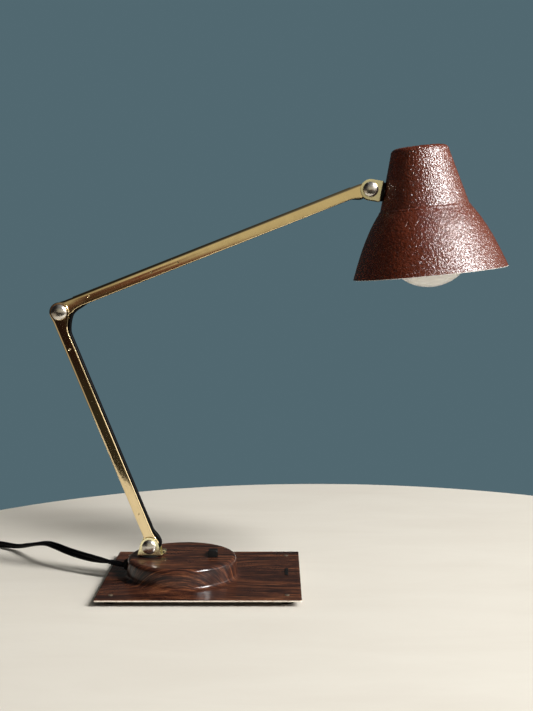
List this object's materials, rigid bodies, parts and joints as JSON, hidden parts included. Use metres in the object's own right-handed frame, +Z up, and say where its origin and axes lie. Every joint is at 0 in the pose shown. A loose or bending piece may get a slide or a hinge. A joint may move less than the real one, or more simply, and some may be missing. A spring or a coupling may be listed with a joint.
{
  "type": "articulated desk lamp",
  "caption": "Articulated desk lamp: channel arms on domed friction pivots, a tilting and rolling cone shade, and a weighted pressed base with a boss, rocker switch and flat cord.",
  "frame": {"origin": "middle of the base's footprint on the table plane, on the underside of the felt pad", "axes": "+Z up, +X along the long side of the base towards the shade, +Y to the back"},
  "size_m": [0.535, 0.1967, 0.3673],
  "materials": {
    "woodgrain": "gloss wood-grain laminate on pressed steel",
    "zinc_steel": "zinc-plated",
    "felt": "felt",
    "cast_weight": "as cast",
    "rubber": "matte",
    "nickel": "polished nickel",
    "black_plastic": "satin",
    "phenolic": "moulded phenolic",
    "cord": "flexible vinyl",
    "brass": "brushed, lacquered",
    "contact_brass": "plain",
    "fibre": "vulcanised fibre",
    "wrinkle_paint": "red-brown wrinkle enamel outside, white inside",
    "bulb_glass": "inside-frosted white"
  },
  "bodies": {
    "base": {"base_pan": "woodgrain", "bottom_cover": "zinc_steel", "felt_pad": "felt", "ballast_weight": "cast_weight", "cover_screw_1": "zinc_steel", "cover_screw_2": "zinc_steel", "cover_screw_3": "zinc_steel", "rubber_foot_1": "rubber", "rubber_foot_2": "rubber", "rubber_foot_3": "rubber", "rubber_foot_4": "rubber", "foot_rivet_1": "nickel", "foot_rivet_2": "nickel", "foot_rivet_3": "nickel", "foot_rivet_4": "nickel", "inlay_strip": "black_plastic", "switch_body": "phenolic", "cord_bushing": "rubber", "power_cord": "cord", "plug_body": "black_plastic", "plug_blade_left": "contact_brass", "plug_blade_right": "contact_brass", "wire_splice_cap": "black_plastic", "switch_lead": "cord", "base_swivel_washer": "rubber"},
    "swivel": {"base_bracket": "brass", "base_swivel_nipple": "zinc_steel", "base_spring_washer": "zinc_steel", "base_lock_nut": "zinc_steel", "base_pivot_bolt": "nickel", "base_pivot_nut": "nickel", "base_pivot_washer_front": "fibre", "base_pivot_washer_rear": "fibre"},
    "rocker": {"switch_rocker": "black_plastic"},
    "lower_arm": {"lower_arm": "brass", "lower_arm_wire": "cord", "elbow_bolt": "nickel", "elbow_nut": "nickel", "elbow_washer_front": "fibre", "elbow_washer_rear": "fibre"},
    "upper_arm": {"upper_arm": "brass", "upper_arm_wire": "cord"},
    "head_clevis": {"head_bracket": "brass", "head_pivot_bolt": "nickel", "head_pivot_nut": "nickel", "head_pivot_washer_front": "fibre", "head_pivot_washer_rear": "fibre", "head_nipple": "zinc_steel"},
    "shade_head": {"head_spacer_washer": "rubber", "shade": "wrinkle_paint", "head_spring_washer": "zinc_steel", "head_lock_nut": "zinc_steel", "socket_strap": "zinc_steel", "lamp_socket": "phenolic", "socket_screw": "zinc_steel", "socket_screw_shell": "contact_brass", "bulb_base": "contact_brass", "bulb_glass": "bulb_glass", "head_wire": "cord"}
  },
  "joints": [
    {"name": "base_swivel", "type": "hinge", "parent": "base", "child": "swivel", "pos_m": [-0.0455, 0, 0.0223], "axis": [0, 0, 1], "range_deg": [-150, 150]},
    {"name": "switch_rock", "type": "hinge", "parent": "base", "child": "rocker", "pos_m": [0.008, -0.0004, 0.0184], "axis": [1, 0, 0], "range_deg": [0, 14]},
    {"name": "lower_arm_tilt", "type": "hinge", "parent": "swivel", "child": "lower_arm", "pos_m": [-0.0455, 0, 0.0313], "axis": [0, 1, 0], "range_deg": [-50, 42]},
    {"name": "elbow", "type": "hinge", "parent": "lower_arm", "child": "upper_arm", "pos_m": [-0.1186, 0, 0.2303], "axis": [0, -1, 0], "range_deg": [-40, 80]},
    {"name": "head_tilt", "type": "hinge", "parent": "upper_arm", "child": "head_clevis", "pos_m": [0.1408, 0, 0.3309], "axis": [0, 1, 0], "range_deg": [-85, 45]},
    {"name": "head_roll", "type": "hinge", "parent": "head_clevis", "child": "shade_head", "pos_m": [0.1408, 0, 0.3309], "axis": [0.9845, 0, -0.1754], "range_deg": [-90, 90]}
  ]
}
